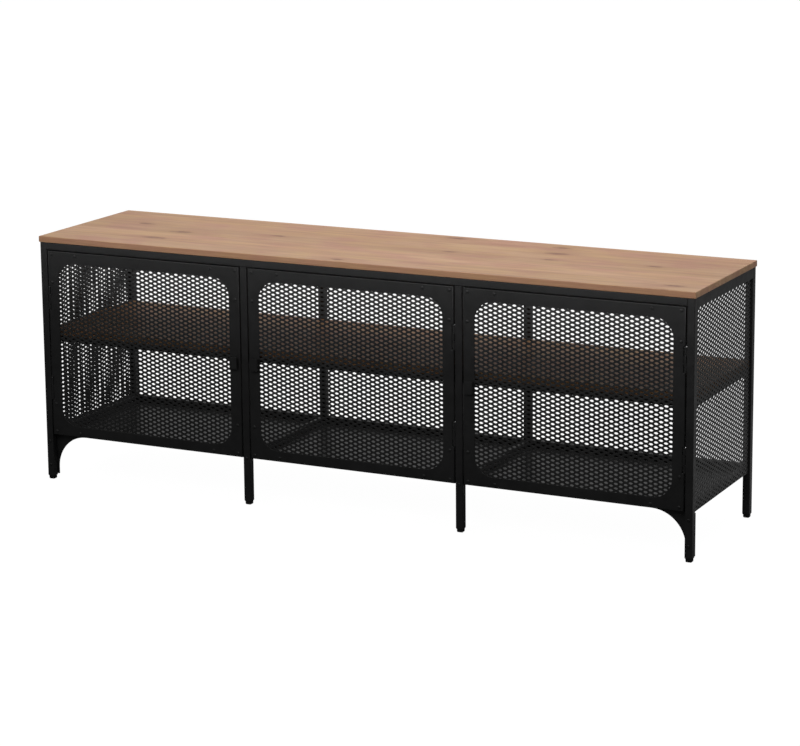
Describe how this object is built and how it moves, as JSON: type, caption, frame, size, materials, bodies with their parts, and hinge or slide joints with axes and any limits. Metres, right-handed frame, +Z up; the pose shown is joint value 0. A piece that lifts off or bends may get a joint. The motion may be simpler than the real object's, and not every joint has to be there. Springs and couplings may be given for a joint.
{
  "type": "tv stand with doors",
  "caption": "Low media bench: black square-tube steel frame, pine top and shelf, expanded-metal sides and hinged mesh doors, open at the back.",
  "frame": {"origin": "bottom centre of the whole bench's box on the floor, finger pulls included", "axes": "+X along the bench to its right end as seen from the front, +Y to the back, +Z up; the doors face -Y"},
  "size_m": [1.5, 0.366, 0.54],
  "materials": {
    "pine_top": "stained pine with a clear satin lacquer",
    "pine_shelf": "stained pine with a clear satin lacquer",
    "black_steel": "fine-textured black powder coat",
    "panel_steel": "semi-gloss black powder coat",
    "black_mesh": "semi-gloss black powder coat",
    "black_plastic": "moulded, matte",
    "bare_steel": "zinc plated"
  },
  "bodies": {
    "frame": {"top_board": "pine_top", "shelf_board": "pine_shelf", "bottom_panel": "panel_steel", "front_top_rail": "black_steel", "rear_top_rail": "black_steel", "side_top_rail_left": "black_steel", "side_top_rail_right": "black_steel", "top_cross_rails": "black_steel", "front_bottom_rail": "black_steel", "rear_bottom_rails": "black_steel", "side_bottom_rail_left": "black_steel", "side_bottom_rail_right": "black_steel", "bottom_cross_rails": "black_steel", "shelf_rail_front": "black_steel", "shelf_rail_rear": "black_steel", "shelf_side_rails": "black_steel", "shelf_cross_rails": "black_steel", "side_mesh_left": "black_mesh", "side_mesh_right": "black_mesh", "gusset_left": "black_steel", "gusset_right": "black_steel", "feet_front": "black_plastic", "feet_rear": "black_plastic", "frame_screws": "black_steel", "top_board_screws": "bare_steel", "post_hinge_knuckles": "black_steel", "hinge_pins": "bare_steel", "magnetic_catches": "black_plastic", "catch_magnets": "bare_steel", "post_front_left": "black_steel", "post_front_mid_left": "black_steel", "post_front_mid_right": "black_steel", "post_front_right": "black_steel", "post_rear_left": "black_steel", "post_rear_mid_left": "black_steel", "post_rear_mid_right": "black_steel", "post_rear_right": "black_steel"},
    "door_left": {"door_left_frame": "black_steel", "door_left_mesh": "black_mesh", "door_left_corner_plates": "black_steel", "door_left_rivets": "black_steel", "door_left_pull": "black_steel", "door_left_knuckles": "black_steel", "door_left_strike": "black_steel"},
    "door_middle": {"door_middle_frame": "black_steel", "door_middle_mesh": "black_mesh", "door_middle_corner_plates": "black_steel", "door_middle_rivets": "black_steel", "door_middle_pull": "black_steel", "door_middle_knuckles": "black_steel", "door_middle_strike": "black_steel"},
    "door_right": {"door_right_frame": "black_steel", "door_right_mesh": "black_mesh", "door_right_corner_plates": "black_steel", "door_right_rivets": "black_steel", "door_right_pull": "black_steel", "door_right_knuckles": "black_steel", "door_right_strike": "black_steel"}
  },
  "joints": [
    {"name": "door_left_hinge", "type": "hinge", "parent": "frame", "child": "door_left", "pos_m": [-0.729, -0.1725, 0.305], "axis": [0, 0, -1], "range_deg": [0, 95]},
    {"name": "door_middle_hinge", "type": "hinge", "parent": "frame", "child": "door_middle", "pos_m": [0.23567, -0.1725, 0.305], "axis": [0, 0, 1], "range_deg": [0, 95]},
    {"name": "door_right_hinge", "type": "hinge", "parent": "frame", "child": "door_right", "pos_m": [0.729, -0.1725, 0.305], "axis": [0, 0, 1], "range_deg": [0, 95]}
  ]
}
